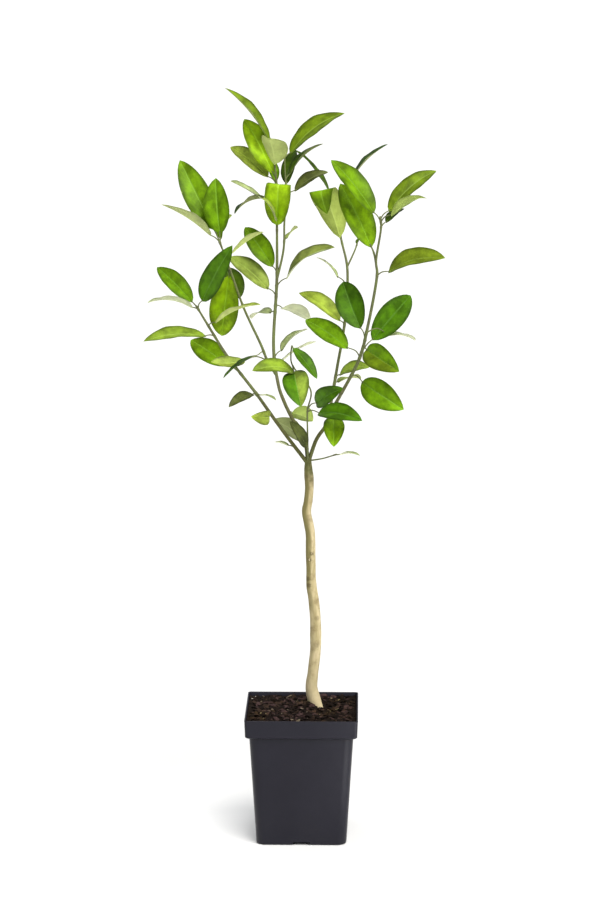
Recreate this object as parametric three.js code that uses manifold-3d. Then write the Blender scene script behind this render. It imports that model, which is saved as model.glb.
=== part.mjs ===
// A young orange tree, trained as a small standard: one bare trunk, a head of four upright shoots
// with large glossy leaves, and the square nursery pot that it stands in.
// Millimetres, +Z up. The origin is the middle of the pot's underside, and -Y is the front.
import * as THREE from 'three';
import { mergeVertices } from 'three/addons/utils/BufferGeometryUtils.js';
import Module from 'manifold-3d';

const wasm = await Module();
wasm.setup();

// Clear gap between pieces that touch on the real plant
const GAP = 0.3;

// Pot: half widths, heights and corner radii of a thin moulded wall with a deep rim band. It stands
// on a skirt, foot, round a hollow of the given recess, and on a round pad in the middle of it.
const POT = {
  height: 180,
  footHalf: 62,
  footChamfer: 1.5,
  foot: 1.1,
  recess: 5,
  bandFoot: 154,
  underBandHalf: 71.2,
  bandHalf: 76.4,
  rimHalf: 77.5,
  lip: 2,
  wall: 1.8,
  floor: 3,
  padRadius: 24,
  rimEase: 0.6,
  bodyCorner: 13,
  bandCorner: 4.5,
  arcSteps: 4,
};
const PAD_SIDES = 24;

// Drainage: a notch in the skirt in the middle of each side and a round hole near each corner
const DRAIN_SLOT = { width: 23, height: 4.2, depth: 5 };
const DRAIN_HOLE = { radius: 6, fromMiddle: 38, sides: 16 };

// Potting mix: how far its top lies below the rim, its bumps, and the mound at the trunk's foot
const SOIL = { belowRim: 5, bump: 2, rings: 6, seed: 11 };
const MOUND = { topRadius: 14, footRadius: 30, height: 3, sides: 14 };

// Trunk: centre line and radius (x, y, z, r) from its root flare to the fork, the height of its
// flat foot, and how finely it is faceted
const TRUNK_FOOT = 177;
const TRUNK_FACETS = { sides: 10, spacing: 11 };
const TRUNK = [
  [20.3, 22.5, 165, 10.6],
  [17.6, 22.5, 178, 9.7],
  [12.6, 21, 200, 8.3],
  [14.5, 20, 222, 7.6],
  [17.6, 18.8, 252, 7.5],
  [18.5, 17.5, 280, 8],
  [17.2, 16, 312, 7.4],
  [15, 15.2, 331, 7.1],
  [12.4, 14.4, 347, 6.9],
  [12, 13.4, 374, 6.5],
  [11.3, 12.6, 396, 6.8],
  [10.9, 11.6, 422, 6.5],
  [7.8, 10.8, 440, 6.4],
  [6, 10.4, 454, 6.2],
  [8.2, 9.9, 469, 6],
  [9.4, 9.3, 486, 6],
  [9, 8.6, 502, 6.6],
  [8.2, 8.1, 514, 5.7],
  [8, 8, 530, 3.6],
];

// Shoots: centre lines and radii. Each starts inside what carries it and is cut clear of it.
// bare: the share of the shoot that is a leafless bough below its mass of foliage.
const SHOOTS = {
  left: {
    bare: 0.395,
    route: [
      [7, 7, 521, 2.8], [-15, 6, 550, 2.5], [-34, 6, 576, 2.4], [-63, 8, 617, 2.2],
      [-101, 12, 666, 1.9], [-127, 16, 707, 1.7], [-144, 18, 735, 1.2],
    ],
  },
  centre: {
    bare: 0.285,
    route: [
      [8, 8, 521, 2.9], [4, 12, 548, 2.7], [-6, 16, 566, 2.6], [-24, 24, 600, 2.4], [-34, 31, 629, 2.3],
      [-40, 43, 679, 2.2], [-36, 63, 762, 2.1], [-36, 76, 839, 1.6], [-36, 84, 886, 1.4], [-43, 94, 950, 1],
    ],
  },
  right: {
    bare: 0.345,
    route: [
      [8, 8, 521, 2.9], [19, 0, 554, 2.6], [32, -6, 575, 2.5], [43, -14, 602, 2.4], [76, -33, 668, 2.2],
      [89, -48, 720, 2], [100, -65, 784, 1.9], [99, -71, 809, 1.6], [105, -80, 850, 1.4], [104, -84, 868, 1.1],
    ],
  },
  back: {
    bare: 0.13,
    route: [
      [35, -8, 580, 2.2], [40, 4, 610, 2.1], [47, 20, 650, 2], [57.5, 44, 712, 1.9], [60.5, 66, 778, 1.8],
      [51, 82, 824, 1.4], [47, 93, 880, 1],
    ],
  },
  leftUpper: {
    bare: 0,
    route: [
      [-37, 34, 639, 2], [-48, 22, 660, 1.9], [-57, 11, 685, 1.8], [-78, -5, 734, 1.6], [-94, -12, 781, 1.4],
      [-111, -14, 828, 1.1],
    ],
  },
  front: {
    bare: 0,
    route: [
      [7.5, 6, 524, 1.4], [7.5, -10, 563, 1.2], [7.7, -26, 599, 1.1], [12, -40, 630, 1.1], [-11, -51, 663, 1],
      [-14, -54, 680, 1], [-12.5, -58, 692, 0.9],
    ],
  },
  low: {
    bare: 0,
    route: [[9, 8, 524, 1.2], [28, 3, 528, 1], [47, -3, 535, 0.9]],
  },
};

// Side twigs that fork off a shoot and belong to its mass of foliage
const CENTRE_TWIG = [
  [-36, 63, 764, 1.7], [-27, 72, 805, 1.5], [-26, 78, 839, 1.4], [-24, 84, 878, 1.2], [-26, 92, 930, 0.9],
];
const RIGHT_TWIG = [[99, -69, 802, 1.4], [96, -70, 818, 1.2], [91, -72, 830, 1]];
const BACK_TWIG = [[60.6, 68, 783, 1.3], [70, 74, 803, 1.1], [74, 78, 814, 0.9]];

// Leaves of each shoot, from its foot up. share: place of the leaf's node along the shoot or twig.
// right, back, up: how far the leaf's tip reaches from that node. stalk and width: sizes in mm.
// roll: turn of the upper face, 0 to the front, 90 to the sky, 180 to the back. arch: bow, % of length.
const LEFT_LEAVES = [
  [0.453, -35, -45, -12, 5, 18, 50, 12],
  [0.443, 27, -36, -2, 6, 9, 90, 8],
  [0.578, -71, 50, 39, 24, 33, 22, 7],
  [0.818, -95, -26, -4, 11, 32, 66, 8],
  [0.877, 73, -62, 38, 14, 22, 100, 7],
  [0.98, -67, -28, 12, 8, 30, 104, 12],
  [0.993, -56, 33, 50, 9, 29, 30, 6],
  [0.98, 49, -50, 93, 14, 32, 15, 7],
];
const LEFT_UPPER_LEAVES = [
  [0.128, -74, -45, 4, 34, 26, 62, -6],
  [0.195, -52, -72, -25, 9, 14, 80, 6],
  [0.555, -26, 52, 45, 12, 31, 20, 6],
  [0.8, -14, 54, -98, 9, 44, 5, 4],
  [0.88, 51, 18, 33, 10, 28, 106, 5],
  [0.963, -7, 8, 90, 16, 38, -12, 6],
  [0.983, 14, 50, 31, 9, 24, 70, 8],
  [0.988, -76, -36, 54, 15, 36, 108, 5],
  [0.995, -55, 46, 104, 17, 38, 8, 5],
];
const CENTRE_LEAVES = [
  [0.315, 56, 46, 27, 8, 22, 100, 6],
  [0.34, 45, 45, 33, 16, 24, 82, 10],
  [0.48, -34, 58, -17, 12, 25, 96, 10],
  [0.5, 47, 52, -28, 13, 26, 140, 10],
  [0.53, -66, 41, 49, 15, 33, 42, 7],
  [0.56, 80, -35, 58, 18, 37, 76, 13],
  [0.6, -45, 38, 59, 11, 31, 20, 6],
  [0.733, 3, -18, 65, 6, 40, 8, 4],
  [0.75, -19, -50, 41, 6, 15, 84, 6],
  [0.8, -62, -50, 41, 26, 24, 84, 2],
  [0.85, -56, -51, -26, 24, 25, 100, 12],
  [0.86, -10, 58, 32, 14, 16, 20, 6],
  [0.87, -65, 42, 48, 17, 30, 40, 6],
  [0.885, -45, 38, 80, 10, 37, 22, 6],
  [0.92, -8, -60, 46, 9, 42, 152, 8],
  [0.99, -66, 22, 77, 7, 30, 74, 6],
];
const CENTRE_TWIG_LEAVES = [
  [0.32, 18, 45, 14, 10, 17, 100, 6],
  [0.68, 58, 10, 33, 14, 26, 58, 10],
  [0.75, 12, 44, 48, 7, 24, 34, 6],
  [0.82, 52, 35, 46, 8, 22, 82, 10],
  [0.99, 82, 23, 60, 9, 40, 60, 11],
];
const RIGHT_LEAVES = [
  [0.383, 70, -55, -37, 19, 38, 6, 7],
  [0.46, -74, 53, 43, 22, 33, 38, 7],
  [0.48, 66, 53, 70, 23, 41, 10, 6],
  [0.5, 48, -60, -23, 7, 37, 10, 8],
  [0.53, -30, 55, 71, 18, 42, -4, 5],
  [0.56, 66, 67, -21, 42, 25, 98, 8],
  [0.78, 89, -44, 29, 17, 37, 56, 12],
  [0.96, 31, 45, 20, 13, 17, 60, 8],
  [0.98, 59, -58, 37, 21, 19, 134, 13],
  [0.98, -66, 47, 77, 15, 35, 38, 6],
  [0.99, 74, 40, 60, 15, 32, 48, 10],
];
const RIGHT_TWIG_LEAVES = [[0.55, -45, 41, 88, 8, 41, 22, 5]];
const BACK_LEAVES = [
  [0.17, 36, 51, -2, 9, 23, 108, 8],
  [0.2, 46, -20, 16, 6, 25, 62, 16],
  [0.43, -63, 33, 39, 8, 32, 52, 7],
  [0.59, -44, 45, 36, 22, 13, 90, 10],
  [0.787, -29, -60, 75, 10, 44, 165, 12],
  [0.96, -68, 66, 70, 22, 13, 70, 8],
  [0.99, 68, -24, 73, 24, 25, 84, 8],
];
const BACK_TWIG_LEAVES = [[0.9, 5, 9, 10, 2, 8, 60, 6]];
const FRONT_LEAVES = [
  [0.102, -24, -38, 45, 4, 20, 40, 6],
  [0.424, 74, -53, -3, 18, 31, 46, 11],
  [0.452, 48, -59, 38, 20, 28, 28, 8],
  [0.776, -60, -45, 10, 5, 31, 62, 13],
  [0.839, 12, -69, -43, 10, 38, 4, 8],
  [0.995, 34, -22, -40, 2, 20, 44, 5],
];
const LOW_LEAVES = [[0.94, 34, -13, 1, 6, 14, 92, 10]];

// Single leaves low on the bare boughs, each a small mass of its own
const LOW_SPURS = [
  { name: 'leaf_fork_left', shoot: 'left', leaves: [[0.1, -30, 10, 6, 10, 15, 92, 6]] },
  { name: 'leaf_fork_back', shoot: 'centre', leaves: [[0.07, -44, 52, 19, 6, 28, 165, 8]] },
  { name: 'leaf_low_left', shoot: 'left', leaves: [[0.307, -27, -55, 9, 8, 22, 8, 10]] },
  { name: 'leaf_low_centre', shoot: 'centre', leaves: [[0.17, 33, 14, -16, 5, 30, 152, 8]] },
  { name: 'leaf_low_right', shoot: 'right', leaves: [[0.24, 1, -60, -43, 20, 31, 4, 8]] },
];

// Leaf blade: thickness at the midrib, the curve of its outline, its fold and its waved edge,
// and the stalk, which bends up along the shoot and is sunk into the blade
const LEAF = {
  thickShare: 0.018,
  leastThick: 1,
  steps: 7,
  basePower: 0.7,
  tipPower: 0.8,
  fullness: 2.82,
  foldDegrees: [12, 26],
  wave: 0.02,
  waves: 1.5,
  stalkRadius: 0.95,
  stalkTaper: 0.15,
  stalkBend: { out: 0.45, up: 0.2 },
  sunk: 5,
};

// The furthest that a leaf's tip may lie from its node
const REACH = 130;

const COLOURS = {
  pot: 0x33333a,
  soil: 0x2a201b,
  trunk: 0xc6b184,
  bough: 0x747a4e,
  leaf: 0x5f9a12,
};

// A repeatable source of numbers from 0 to 1
function seeded(seed) {
  let state = seed * 7919 + 17;
  return () => {
    state = (state * 16807) % 2147483647;
    return state / 2147483647;
  };
}

function toSolid(geometry) {
  geometry.deleteAttribute('normal');
  geometry.deleteAttribute('uv');
  const merged = mergeVertices(geometry, 1e-4);
  return new wasm.Manifold(new wasm.Mesh({
    numProp: 3,
    vertProperties: new Float32Array(merged.attributes.position.array),
    triVerts: new Uint32Array(merged.index.array),
  }));
}

function toMesh(name, solid, colour, roughness) {
  const result = solid.getMesh();
  const geometry = new THREE.BufferGeometry();
  geometry.setAttribute('position', new THREE.BufferAttribute(result.vertProperties, 3));
  geometry.setIndex(new THREE.BufferAttribute(result.triVerts, 1));
  geometry.computeVertexNormals();
  const material = new THREE.MeshStandardMaterial({ color: colour, roughness, metalness: 0 });
  const mesh = new THREE.Mesh(geometry, material);
  mesh.name = name;
  return mesh;
}

// The outline of a square with round corners, as points
function roundedSquare(half, corner) {
  const side = half - corner;
  const shape = new THREE.Shape();
  [[1, 1], [-1, 1], [-1, -1], [1, -1]].forEach(([x, y], quarter) => {
    const start = quarter * Math.PI / 2;
    shape.absarc(x * side, y * side, corner, start, start + Math.PI / 2, false);
  });
  return shape.getPoints(POT.arcSteps / 2);
}

// A solid skin through a stack of outlines, closed by a fan of faces at both ends
function stackOutlines(outlines) {
  const count = outlines[0].length;
  const points = outlines.flat();
  const index = [];
  for (let level = 0; level < outlines.length - 1; level += 1) {
    for (let i = 0; i < count; i += 1) {
      const a = level * count + i;
      const b = level * count + (i + 1) % count;
      index.push(a, b, b + count, a, b + count, a + count);
    }
  }
  const last = (outlines.length - 1) * count;
  for (let i = 1; i < count - 1; i += 1) {
    index.push(0, i + 1, i);
    index.push(last, last + i, last + i + 1);
  }
  const geometry = new THREE.BufferGeometry().setFromPoints(points);
  geometry.setIndex(index);
  return geometry;
}

function squareStack(levels) {
  return toSolid(stackOutlines(levels.map(([half, z, corner]) => (
    roundedSquare(half, corner).map((point) => new THREE.Vector3(point.x, point.y, z))
  ))));
}

// Pot wall and floor, one thin shell, with slots and holes that let water out
function makePot() {
  const { wall, lip, bodyCorner, bandCorner } = POT;
  const webTop = POT.bandFoot + wall;
  const footInner = POT.footHalf - POT.footChamfer - POT.foot;
  const shell = squareStack([
    [POT.footHalf - wall, POT.recess, bodyCorner - wall],
    [footInner, 0, bodyCorner - wall],
    [POT.footHalf - POT.footChamfer, 0, bodyCorner - POT.footChamfer],
    [POT.footHalf, POT.footChamfer, bodyCorner],
    [POT.underBandHalf, POT.bandFoot, bodyCorner],
    [POT.bandHalf - lip, POT.bandFoot, bandCorner],
    [POT.bandHalf, POT.bandFoot + lip, bandCorner],
    [POT.rimHalf, POT.height - 1, bandCorner],
    [POT.rimHalf - POT.rimEase, POT.height, bandCorner],
    [POT.rimHalf - wall, POT.height, bandCorner - wall],
    [POT.bandHalf - wall, webTop + 1, bandCorner - wall],
    [POT.underBandHalf - wall, webTop, bodyCorner - wall],
    [POT.footHalf - wall, POT.recess + POT.floor, bodyCorner - wall],
  ]);
  const pad = new THREE.CylinderGeometry(
    POT.padRadius, POT.padRadius, POT.recess + POT.floor / 2, PAD_SIDES,
  );
  pad.rotateX(Math.PI / 2);
  pad.translate(0, 0, (POT.recess + POT.floor / 2) / 2);
  let pot = shell.add(toSolid(pad));
  for (let side = 0; side < 4; side += 1) {
    const angle = side * Math.PI / 2;
    const slot = new THREE.BoxGeometry(DRAIN_SLOT.width, 2 * DRAIN_SLOT.depth, 2 * DRAIN_SLOT.height);
    slot.translate(0, -POT.footHalf, 0);
    slot.rotateZ(angle);
    pot = pot.subtract(toSolid(slot));
    const hole = new THREE.CylinderGeometry(
      DRAIN_HOLE.radius, DRAIN_HOLE.radius, 4 * (POT.recess + POT.floor), DRAIN_HOLE.sides,
    );
    hole.rotateX(Math.PI / 2);
    hole.translate(DRAIN_HOLE.fromMiddle, DRAIN_HOLE.fromMiddle, 0);
    hole.rotateZ(angle);
    pot = pot.subtract(toSolid(hole));
  }
  return pot;
}

// Potting mix: fills the pot a gap clear of it, with an uneven top and a mound under the trunk
function makeSoil() {
  const { wall, bodyCorner, bandCorner } = POT;
  const random = seeded(SOIL.seed);
  const top = POT.height - SOIL.belowRim;
  const inset = wall + GAP;
  const webTop = POT.bandFoot + wall;
  const levels = [
    [POT.footHalf - inset, POT.recess + POT.floor + GAP, bodyCorner - inset],
    [POT.underBandHalf - inset, webTop + GAP, bodyCorner - inset],
    [POT.bandHalf - inset - 0.1, webTop + 1 + GAP, bandCorner - inset],
    [POT.bandHalf - inset + 0.4, top, bandCorner - inset],
  ];
  const outlines = levels.map(([half, z, corner]) => (
    roundedSquare(half, corner).map((point) => new THREE.Vector3(point.x, point.y, z))
  ));
  for (let ring = 1; ring < SOIL.rings; ring += 1) {
    const shrink = 1 - ring / SOIL.rings;
    outlines.push(outlines[levels.length - 1].map((point) => (
      new THREE.Vector3(point.x * shrink, point.y * shrink, top + SOIL.bump * (random() - 0.4))
    )));
  }
  const [footX, footY] = TRUNK[0];
  const moundTop = TRUNK_FOOT - GAP;
  const mound = new THREE.CylinderGeometry(
    MOUND.topRadius, MOUND.footRadius, 2 * MOUND.height, MOUND.sides,
  );
  mound.rotateX(Math.PI / 2);
  mound.translate(footX, footY, moundTop - MOUND.height);
  return toSolid(stackOutlines(outlines)).add(toSolid(mound));
}

// A smooth centre line through a route's points, with the radius that goes with each share of it
function centreLine(route) {
  const curve = new THREE.CatmullRomCurve3(
    route.map(([x, y, z]) => new THREE.Vector3(x, y, z)), false, 'catmullrom', 0.5,
  );
  curve.arcLengthDivisions = 400;
  const radiusAt = (share) => {
    const place = curve.getUtoTmapping(share) * (route.length - 1);
    const low = Math.min(Math.floor(place), route.length - 2);
    return THREE.MathUtils.lerp(route[low][3], route[low + 1][3], place - low);
  };
  return { curve, radiusAt, length: curve.getLength() };
}

// A cylinder bent along a centre line and tapered to its radii, cut square at both ends
function limbSolid(route, { from = 0, to = 1, sides = 8, spacing = 14, grow = 0 } = {}) {
  const { curve, radiusAt, length } = centreLine(route);
  const steps = Math.max(2, Math.round(length * (to - from) / spacing));
  const geometry = new THREE.CylinderGeometry(1, 1, 1, sides, steps);
  geometry.rotateX(Math.PI / 2);
  const position = geometry.attributes.position;
  const front = new THREE.Vector3(0, -1, 0);
  for (let i = 0; i < position.count; i += 1) {
    const share = THREE.MathUtils.clamp(THREE.MathUtils.lerp(from, to, position.getZ(i) + 0.5), 0, 1);
    const tangent = curve.getTangentAt(share);
    const right = new THREE.Vector3().crossVectors(tangent, front).normalize().negate();
    const across = new THREE.Vector3().crossVectors(tangent, right);
    const radius = radiusAt(share) + grow;
    const point = curve.getPointAt(share)
      .addScaledVector(right, position.getX(i) * radius)
      .addScaledVector(across, position.getY(i) * radius);
    position.setXYZ(i, point.x, point.y, point.z);
  }
  return toSolid(geometry);
}

// Trunk, cut flat and level where it stands on the soil
function makeTrunk() {
  const [footX, footY, footZ, footRadius] = TRUNK[0];
  const size = 4 * footRadius;
  const below = new THREE.BoxGeometry(size, size, size);
  below.translate(footX, footY, TRUNK_FOOT - size / 2);
  return limbSolid(TRUNK, TRUNK_FACETS).subtract(toSolid(below));
}

// Half the blade's width at a share of its length: widest near the middle, with a pointed tip
function bladeHalfWidth(share, width) {
  const outline = Math.pow(share, LEAF.basePower) * Math.pow(1 - share, LEAF.tipPower);
  return width / 2 * LEAF.fullness * outline;
}

// One leaf: a stalk that leaves its node along the shoot and a folded, arched blade
function leafSolid(line, row, random) {
  const [share, right, back, up, stalk, width, roll, arch] = row;
  const node = line.curve.getPointAt(share);
  const shootway = line.curve.getTangentAt(share);
  const along = new THREE.Vector3(right, back, up);
  const blade = along.length() - stalk;
  along.normalize();
  const front = new THREE.Vector3(0, -1, 0);
  front.addScaledVector(along, -front.dot(along)).normalize();
  const sky = new THREE.Vector3().crossVectors(along, front).multiplyScalar(right > 0 ? -1 : 1);
  const turn = THREE.MathUtils.degToRad(roll);
  const face = front.multiplyScalar(Math.cos(turn)).addScaledVector(sky, Math.sin(turn));
  const side = new THREE.Vector3().crossVectors(face, along);
  const base = node.clone().addScaledVector(along, stalk);
  const fold = THREE.MathUtils.degToRad(THREE.MathUtils.lerp(...LEAF.foldDegrees, random()));
  const bow = arch / 100 * 4 * blade;
  const wavePhase = random() * 2 * Math.PI;
  const thick = Math.max(LEAF.leastThick, LEAF.thickShare * blade);

  const geometry = new THREE.SphereGeometry(1, 4, LEAF.steps);
  const position = geometry.attributes.position;
  for (let step = 0; step <= LEAF.steps; step += 1) {
    const t = step / LEAF.steps;
    const middle = base.clone().addScaledVector(along, t * blade).addScaledVector(face, bow * t * (1 - t));
    const normal = face.clone().addScaledVector(along, -bow / blade * (1 - 2 * t)).normalize();
    const half = bladeHalfWidth(t, width);
    for (let corner = 0; corner <= 4; corner += 1) {
      const phi = corner * Math.PI / 2;
      const out = -Math.round(Math.cos(phi));
      const lift = Math.round(Math.sin(phi));
      const swing = Math.sin(2 * Math.PI * LEAF.waves * t + wavePhase + out);
      const ripple = LEAF.wave * blade * swing * half / width;
      const point = middle.clone()
        .addScaledVector(side, out * half * Math.cos(fold))
        .addScaledVector(normal, Math.abs(out) * (half * Math.sin(fold) + ripple))
        .addScaledVector(normal, lift * thick / 2 * Math.min(1, 3 * half / width));
      position.setXYZ(step * 5 + corner, point.x, point.y, point.z);
    }
  }
  const start = face.clone().multiplyScalar(bow / blade).add(along).normalize();
  const sunkEnd = base.clone().addScaledVector(start, LEAF.sunk);
  const bend = node.clone()
    .addScaledVector(along, stalk * LEAF.stalkBend.out)
    .addScaledVector(shootway, stalk * LEAF.stalkBend.up);
  const stalkRoute = [node, bend, sunkEnd].map((point, i) => [
    point.x, point.y, point.z, LEAF.stalkRadius * (1 - LEAF.stalkTaper * i),
  ]);
  const stem = limbSolid(stalkRoute, { sides: 3, spacing: stalk / 2 });
  return toSolid(geometry).add(stem);
}

function touches(one, other) {
  return one.intersect(other).getMesh().triVerts.length > 0;
}

// A mass of foliage: its stem and side twigs with every leaf that stays in reach and clear of the rest
function foliage(stem, growth, others, seed) {
  const random = seeded(seed);
  let mass = stem;
  growth.forEach(({ route, leaves }) => {
    const line = centreLine(route);
    leaves.forEach((row) => {
      const leaf = leafSolid(line, row, random);
      const inReach = Math.hypot(row[1], row[2], row[3]) < REACH;
      if (inReach && !touches(leaf, others)) {
        mass = mass ? mass.add(leaf) : leaf;
      }
    });
  });
  return mass;
}

const part = new THREE.Group();

function place(name, solid, colour, roughness) {
  part.add(toMesh(name, solid, colour, roughness));
  return solid;
}

place('pot', makePot(), COLOURS.pot, 0.55);
place('soil', makeSoil(), COLOURS.soil, 0.95);
place('trunk', makeTrunk(), COLOURS.trunk, 0.85);

// Boughs, each cut clear of the trunk and of the boughs beside it
const clearOfTrunk = limbSolid(TRUNK, { ...TRUNK_FACETS, grow: GAP });
let grown = clearOfTrunk;
const stems = {};
['left', 'right', 'centre', 'back', 'leftUpper', 'front', 'low'].forEach((name) => {
  const { route, bare } = SHOOTS[name];
  let start = 0;
  if (bare > 0) {
    place(`bough_${name}`, limbSolid(route, { to: bare }).subtract(grown), COLOURS.bough, 0.7);
    start = bare + GAP / centreLine(route).length;
  }
  stems[name] = limbSolid(route, { from: start, sides: 6 }).subtract(grown);
  grown = grown.add(limbSolid(route, { grow: GAP }));
});

// Masses of foliage, one for each shoot, built so that none touches a limb or a mass made before it
const MASSES = [
  { name: 'foliage_left', shoot: 'left', leaves: LEFT_LEAVES, twigs: [] },
  { name: 'foliage_left_upper', shoot: 'leftUpper', leaves: LEFT_UPPER_LEAVES, twigs: [] },
  {
    name: 'foliage_centre',
    shoot: 'centre',
    leaves: CENTRE_LEAVES,
    twigs: [{ route: CENTRE_TWIG, leaves: CENTRE_TWIG_LEAVES }],
  },
  {
    name: 'foliage_right',
    shoot: 'right',
    leaves: RIGHT_LEAVES,
    twigs: [{ route: RIGHT_TWIG, leaves: RIGHT_TWIG_LEAVES }],
  },
  {
    name: 'foliage_back',
    shoot: 'back',
    leaves: BACK_LEAVES,
    twigs: [{ route: BACK_TWIG, leaves: BACK_TWIG_LEAVES }],
  },
  { name: 'foliage_front', shoot: 'front', leaves: FRONT_LEAVES, twigs: [] },
  { name: 'foliage_low', shoot: 'low', leaves: LOW_LEAVES, twigs: [] },
];

// What a mass has to stay clear of: every limb but its own, and the masses before it
function limbsBut(own) {
  let limbs = clearOfTrunk;
  Object.keys(SHOOTS).filter((name) => name !== own).forEach((name) => {
    limbs = limbs.add(limbSolid(SHOOTS[name].route, { grow: GAP }));
  });
  return limbs;
}

let made = null;
MASSES.forEach(({ name, shoot, leaves, twigs }, number) => {
  const others = made ? limbsBut(shoot).add(made) : limbsBut(shoot);
  const growth = [{ route: SHOOTS[shoot].route, leaves }, ...twigs];
  let stem = stems[shoot];
  twigs.forEach(({ route }) => {
    stem = stem.add(limbSolid(route, { sides: 5 }));
  });
  const mass = foliage(stem, growth, others, number + 1);
  made = made ? made.add(mass) : mass;
  place(name, mass, COLOURS.leaf, 0.45);
});

LOW_SPURS.forEach(({ name, shoot, leaves }, number) => {
  const growth = [{ route: SHOOTS[shoot].route, leaves }];
  const mass = foliage(null, growth, limbsBut(shoot).add(made), MASSES.length + number + 1);
  const clear = mass.subtract(limbSolid(SHOOTS[shoot].route, { grow: GAP }));
  made = made.add(clear);
  place(name, clear, COLOURS.leaf, 0.45);
});

export default part;
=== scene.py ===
"""A young orange tree in a square nursery pot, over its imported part. Metres, +Z up, front to -Y."""

import math

import bmesh
import bpy
import numpy as np
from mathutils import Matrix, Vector, noise


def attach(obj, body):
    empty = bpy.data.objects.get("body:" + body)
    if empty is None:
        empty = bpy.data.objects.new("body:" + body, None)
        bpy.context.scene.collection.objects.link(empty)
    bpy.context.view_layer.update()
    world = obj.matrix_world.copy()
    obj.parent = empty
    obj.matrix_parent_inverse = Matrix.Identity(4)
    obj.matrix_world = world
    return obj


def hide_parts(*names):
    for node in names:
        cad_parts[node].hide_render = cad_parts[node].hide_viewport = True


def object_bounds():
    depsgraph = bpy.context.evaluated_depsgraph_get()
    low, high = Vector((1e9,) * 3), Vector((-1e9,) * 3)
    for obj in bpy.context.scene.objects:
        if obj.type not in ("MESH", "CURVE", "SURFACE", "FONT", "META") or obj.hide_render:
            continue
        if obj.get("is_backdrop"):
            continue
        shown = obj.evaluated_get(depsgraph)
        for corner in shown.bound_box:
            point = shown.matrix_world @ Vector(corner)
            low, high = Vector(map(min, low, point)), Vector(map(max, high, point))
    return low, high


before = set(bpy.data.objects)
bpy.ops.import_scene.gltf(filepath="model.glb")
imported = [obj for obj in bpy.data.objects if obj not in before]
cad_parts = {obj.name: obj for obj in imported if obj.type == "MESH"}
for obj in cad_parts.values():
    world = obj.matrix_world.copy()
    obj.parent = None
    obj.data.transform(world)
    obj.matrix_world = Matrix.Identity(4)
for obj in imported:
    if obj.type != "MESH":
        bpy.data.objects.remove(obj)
cad_low, cad_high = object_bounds()

# Studio. A wide white floor runs back out of sight, as in a catalogue picture. A large soft lamp
# stands high in front on the right, pale light comes from all round, and two small lamps brighten
# the floor by the pot. The camera stands four metres back, a little above the tree, looking down.
CAMERA_PLACE = (0.081, -4.055, 1.3)
CAMERA_PITCH = 10.62
CAMERA_YAW = 1.186
CAMERA_LENS = 121.25
SENSOR = 36
FLOOR_SIZE = 160
FLOOR_DROP = 0.0003
FLOOR_WHITE = 0.74
LAMP_STRENGTH = 4.3
LAMP_WIDTH = 50
LAMP_TURN = (30, 26, 0)
LAMP_COLOUR = (1, 0.985, 0.955)
# Place, power and spread in degrees of each small lamp
FLOOR_LAMPS = [((0.28, -0.3, 0.5), 55, 50), ((-0.14, 0.07, 0.5), 5.5, 56)]
FLOOR_LAMP_SIZE = 0.08
SKY_COLOUR = (0.97, 0.985, 1, 1)
SKY_STRENGTH = 0.5


def knot(tree, kind, sockets=None, **traits):
    """Adds one node to a tree. A socket takes a plain value, or the output that feeds it."""
    made = tree.nodes.new(kind)
    for trait, value in traits.items():
        setattr(made, trait, value)
    for socket, value in (sockets or {}).items():
        if isinstance(value, bpy.types.NodeSocket):
            tree.links.new(value, made.inputs[socket])
        else:
            made.inputs[socket].default_value = value
    return made


def finish(name, colour, roughness, **levels):
    """Starts a material: returns it, its node tree and its shader."""
    made = bpy.data.materials.new(name)
    made.use_nodes = True
    shader = made.node_tree.nodes["Principled BSDF"]
    shader.inputs["Base Color"].default_value = (*colour, 1)
    shader.inputs["Roughness"].default_value = roughness
    for level, value in levels.items():
        shader.inputs[level.replace("_", " ")].default_value = value
    return made, made.node_tree, shader


bpy.context.scene.view_settings.view_transform = "Standard"
bpy.ops.object.select_all(action="DESELECT")
bpy.ops.object.camera_add(
    location=CAMERA_PLACE,
    rotation=(math.radians(90 - CAMERA_PITCH), 0, math.radians(CAMERA_YAW)),
)
camera = bpy.context.object
camera.data.lens = CAMERA_LENS
camera.data.sensor_width = SENSOR
camera.data.clip_end = FLOOR_SIZE
bpy.context.scene.camera = camera

bpy.ops.object.light_add(type="SUN", rotation=[math.radians(turn) for turn in LAMP_TURN])
lamp = bpy.context.object
lamp.data.energy = LAMP_STRENGTH
lamp.data.angle = math.radians(LAMP_WIDTH)
lamp.data.color = LAMP_COLOUR

for place, power, spread in FLOOR_LAMPS:
    bpy.ops.object.light_add(type="SPOT", location=place)
    low_lamp = bpy.context.object.data
    low_lamp.energy = power
    low_lamp.spot_size = math.radians(spread)
    low_lamp.spot_blend = 1
    low_lamp.shadow_soft_size = FLOOR_LAMP_SIZE

sky = bpy.data.worlds.new("studio")
sky.use_nodes = True
sky.node_tree.nodes["Background"].inputs["Color"].default_value = SKY_COLOUR
sky.node_tree.nodes["Background"].inputs["Strength"].default_value = SKY_STRENGTH
bpy.context.scene.world = sky

bpy.ops.mesh.primitive_plane_add(size=FLOOR_SIZE, location=(0, 0, -FLOOR_DROP))
floor = bpy.context.object
floor.name = "floor"
paper, *_ = finish("floor_paper", (FLOOR_WHITE,) * 3, 0.9, Specular_IOR_Level=0.1)
floor.data.materials.append(paper)
floor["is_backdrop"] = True

# Pot. A square nursery pot of thin black polypropylene, moulded in one piece. Its walls lean out
# a little to a deep stiff band under the rim. It stands on a skirt, and on a round pad in the
# middle of its hollow foot, and water leaves by a notch in each side and four round holes.
MM = 0.001
POT_FLOOR = 8
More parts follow.
